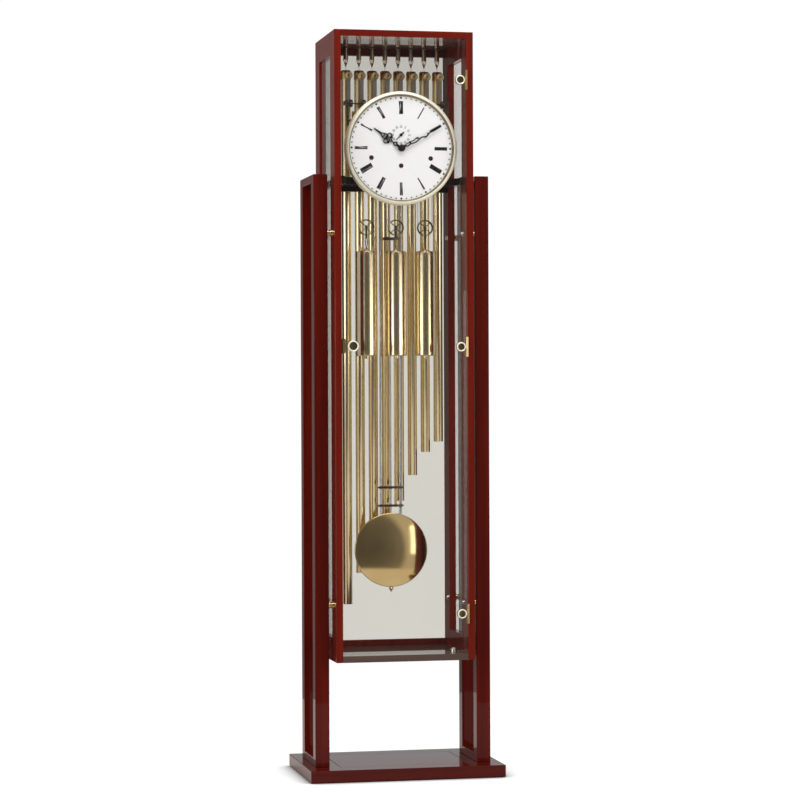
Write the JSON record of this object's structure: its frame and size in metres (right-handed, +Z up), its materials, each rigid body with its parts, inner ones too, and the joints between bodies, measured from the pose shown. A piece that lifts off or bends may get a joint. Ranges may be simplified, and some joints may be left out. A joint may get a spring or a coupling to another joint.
{
  "type": "floor clock with tubular bells",
  "caption": "Tall glazed floor clock hung between open side frames on a base plate, with hinged glass door, gridiron pendulum, cable weights and tubular bells struck by hammers",
  "frame": {"origin": "centre of the base plate's footprint, on the floor", "axes": "+X to the right seen from the front, +Y to the back, +Z up; the dial faces -Y"},
  "size_m": [0.54, 0.364, 2.04],
  "materials": {
    "lacquer": "deep mahogany piano lacquer, high gloss",
    "clear_glass": "clear float glass",
    "polished_brass": "polished and lacquered",
    "mirror_brass": "mirror polished",
    "antique_brass": "satin, slightly darker",
    "bright_steel": "ground steel",
    "dark_steel": "blackened",
    "dial_white": "white enamel paint, satin",
    "black_enamel": "gloss black",
    "steel_cable": "stranded wire",
    "black_rubber": "matt",
    "level_plastic": "clear acrylic with liquid"
  },
  "bodies": {
    "case_and_stand": {"base_plate": "lacquer", "levelling_feet": "black_rubber", "stand_bolts": "bright_steel", "stand_posts": "lacquer", "stand_rails": "lacquer", "case_spacers": "polished_brass", "case_stiles": "lacquer", "case_rails": "lacquer", "side_panes": "clear_glass", "case_top_board": "lacquer", "case_bottom_board": "lacquer", "back_pane": "clear_glass", "hinge_leaves": "polished_brass", "magnetic_catch": "dark_steel", "spirit_level": "level_plastic", "seat_board": "lacquer", "seat_bearers": "lacquer", "cable_anchors": "bright_steel", "movement_plates": "polished_brass", "plate_pillars": "polished_brass", "dial_plate": "dial_white", "dial_bezel": "polished_brass", "dial_numerals": "black_enamel", "suspension_cock": "polished_brass", "bell_tubes": "polished_brass", "bell_hangers": "bright_steel", "hammer_frame": "bright_steel", "left_cable": "steel_cable", "centre_cable": "steel_cable", "right_cable": "steel_cable"},
    "door": {"door_pane": "clear_glass", "door_hinges": "polished_brass", "door_knob": "polished_brass"},
    "minute_work": {"minute_hand": "black_enamel", "centre_arbor": "dark_steel"},
    "hour_work": {"hour_hand": "black_enamel"},
    "seconds_work": {"seconds_hand": "black_enamel", "escape_wheel": "polished_brass"},
    "crutch": {"pallets_and_crutch": "bright_steel"},
    "pendulum": {"pendulum_rods": "bright_steel", "pendulum_bob": "mirror_brass", "rating_nut": "polished_brass"},
    "chime_drum": {"chime_barrel": "polished_brass"},
    "left_weight_and_hook": {"left_weight": "polished_brass"},
    "left_pulley_wheel": {"left_pulley": "polished_brass"},
    "left_winding_drum": {"left_drum": "polished_brass"},
    "centre_weight_and_hook": {"centre_weight": "polished_brass"},
    "centre_pulley_wheel": {"centre_pulley": "polished_brass"},
    "centre_winding_drum": {"centre_drum": "polished_brass"},
    "right_weight_and_hook": {"right_weight": "polished_brass"},
    "right_pulley_wheel": {"right_pulley": "polished_brass"},
    "right_winding_drum": {"right_drum": "polished_brass"},
    "hammer_arm_1": {"hammer_1": "polished_brass"},
    "hammer_arm_2": {"hammer_2": "polished_brass"},
    "hammer_arm_3": {"hammer_3": "polished_brass"},
    "hammer_arm_4": {"hammer_4": "polished_brass"},
    "hammer_arm_5": {"hammer_5": "polished_brass"},
    "hammer_arm_6": {"hammer_6": "polished_brass"},
    "hammer_arm_7": {"hammer_7": "polished_brass"},
    "hammer_arm_8": {"hammer_8": "polished_brass"}
  },
  "joints": [
    {"name": "door_hinge", "type": "hinge", "parent": "case_and_stand", "child": "door", "pos_m": [0.174, -0.15, 1.1785], "axis": [0, 0, 1], "range_deg": [0, 110]},
    {"name": "minute_turn", "type": "hinge", "parent": "case_and_stand", "child": "minute_work", "pos_m": [0, -0.105, 1.723], "axis": [0, 1, 0], "continuous": true},
    {"name": "hour_turn", "type": "hinge", "parent": "case_and_stand", "child": "hour_work", "pos_m": [0, -0.105, 1.723], "axis": [0, 1, 0], "continuous": true},
    {"name": "seconds_turn", "type": "hinge", "parent": "case_and_stand", "child": "seconds_work", "pos_m": [0, -0.105, 1.7595], "axis": [0, 1, 0], "continuous": true},
    {"name": "pendulum_swing", "type": "hinge", "parent": "case_and_stand", "child": "pendulum", "pos_m": [0, 0.055, 1.789], "axis": [0, 1, 0], "range_deg": [-2, 2]},
    {"name": "crutch_swing", "type": "hinge", "parent": "case_and_stand", "child": "crutch", "pos_m": [0, 0, 1.789], "axis": [0, 1, 0], "range_deg": [-2, 2]},
    {"name": "chime_turn", "type": "hinge", "parent": "case_and_stand", "child": "chime_drum", "pos_m": [0, 0.034, 1.859], "axis": [1, 0, 0], "continuous": true},
    {"name": "left_weight_fall", "type": "slide", "parent": "case_and_stand", "child": "left_weight_and_hook", "axis": [0, 0, 1], "range_m": [-0.78, 0.06], "deforming": ["left_cable"]},
    {"name": "left_pulley_turn", "type": "hinge", "parent": "left_weight_and_hook", "child": "left_pulley_wheel", "pos_m": [-0.083, -0.028, 1.51], "axis": [0, 1, 0], "range_deg": [-172, 2235]},
    {"name": "left_drum_turn", "type": "hinge", "parent": "case_and_stand", "child": "left_winding_drum", "pos_m": [-0.083, -0.028, 1.696], "axis": [0, 1, 0], "range_deg": [-344, 4470]},
    {"name": "centre_weight_fall", "type": "slide", "parent": "case_and_stand", "child": "centre_weight_and_hook", "axis": [0, 0, 1], "range_m": [-0.78, 0.06], "deforming": ["centre_cable"]},
    {"name": "centre_pulley_turn", "type": "hinge", "parent": "centre_weight_and_hook", "child": "centre_pulley_wheel", "pos_m": [0, -0.028, 1.51], "axis": [0, 1, 0], "range_deg": [-172, 2235]},
    {"name": "centre_drum_turn", "type": "hinge", "parent": "case_and_stand", "child": "centre_winding_drum", "pos_m": [0, -0.028, 1.675], "axis": [0, 1, 0], "range_deg": [-344, 4470]},
    {"name": "right_weight_fall", "type": "slide", "parent": "case_and_stand", "child": "right_weight_and_hook", "axis": [0, 0, 1], "range_m": [-0.78, 0.06], "deforming": ["right_cable"]},
    {"name": "right_pulley_turn", "type": "hinge", "parent": "right_weight_and_hook", "child": "right_pulley_wheel", "pos_m": [0.083, -0.028, 1.51], "axis": [0, 1, 0], "range_deg": [-172, 2235]},
    {"name": "right_drum_turn", "type": "hinge", "parent": "case_and_stand", "child": "right_winding_drum", "pos_m": [0.083, -0.028, 1.696], "axis": [0, 1, 0], "range_deg": [-344, 4470]},
    {"name": "hammer_swing_1", "type": "hinge", "parent": "case_and_stand", "child": "hammer_arm_1", "pos_m": [-0.1139, 0.062, 1.862], "axis": [1, 0, 0], "range_deg": [-1.2, 8], "stiffness_Nm_per_rad": 0.5},
    {"name": "hammer_swing_2", "type": "hinge", "parent": "case_and_stand", "child": "hammer_arm_2", "pos_m": [-0.0765, 0.062, 1.862], "axis": [1, 0, 0], "range_deg": [-1.2, 8], "stiffness_Nm_per_rad": 0.5},
    {"name": "hammer_swing_3", "type": "hinge", "parent": "case_and_stand", "child": "hammer_arm_3", "pos_m": [-0.0391, 0.062, 1.862], "axis": [1, 0, 0], "range_deg": [-1.2, 8], "stiffness_Nm_per_rad": 0.5},
    {"name": "hammer_swing_4", "type": "hinge", "parent": "case_and_stand", "child": "hammer_arm_4", "pos_m": [-0.0017, 0.062, 1.862], "axis": [1, 0, 0], "range_deg": [-1.2, 8], "stiffness_Nm_per_rad": 0.5},
    {"name": "hammer_swing_5", "type": "hinge", "parent": "case_and_stand", "child": "hammer_arm_5", "pos_m": [0.0357, 0.062, 1.862], "axis": [1, 0, 0], "range_deg": [-1.2, 8], "stiffness_Nm_per_rad": 0.5},
    {"name": "hammer_swing_6", "type": "hinge", "parent": "case_and_stand", "child": "hammer_arm_6", "pos_m": [0.0731, 0.062, 1.862], "axis": [1, 0, 0], "range_deg": [-1.2, 8], "stiffness_Nm_per_rad": 0.5},
    {"name": "hammer_swing_7", "type": "hinge", "parent": "case_and_stand", "child": "hammer_arm_7", "pos_m": [0.1105, 0.062, 1.862], "axis": [1, 0, 0], "range_deg": [-1.2, 8], "stiffness_Nm_per_rad": 0.5},
    {"name": "hammer_swing_8", "type": "hinge", "parent": "case_and_stand", "child": "hammer_arm_8", "pos_m": [0.1479, 0.062, 1.862], "axis": [1, 0, 0], "range_deg": [-1.2, 8], "stiffness_Nm_per_rad": 0.5}
  ],
  "couplings": [
    {"joint": "hour_turn", "follows": "minute_turn", "ratio": 0.083333},
    {"joint": "seconds_turn", "follows": "minute_turn", "ratio": 60},
    {"joint": "crutch_swing", "follows": "pendulum_swing", "ratio": 1},
    {"joint": "left_pulley_turn", "follows": "left_weight_fall", "rad_per_m": -50},
    {"joint": "left_drum_turn", "follows": "left_weight_fall", "rad_per_m": -100},
    {"joint": "centre_pulley_turn", "follows": "centre_weight_fall", "rad_per_m": -50},
    {"joint": "centre_drum_turn", "follows": "centre_weight_fall", "rad_per_m": -100},
    {"joint": "right_pulley_turn", "follows": "right_weight_fall", "rad_per_m": -50},
    {"joint": "right_drum_turn", "follows": "right_weight_fall", "rad_per_m": -100}
  ]
}
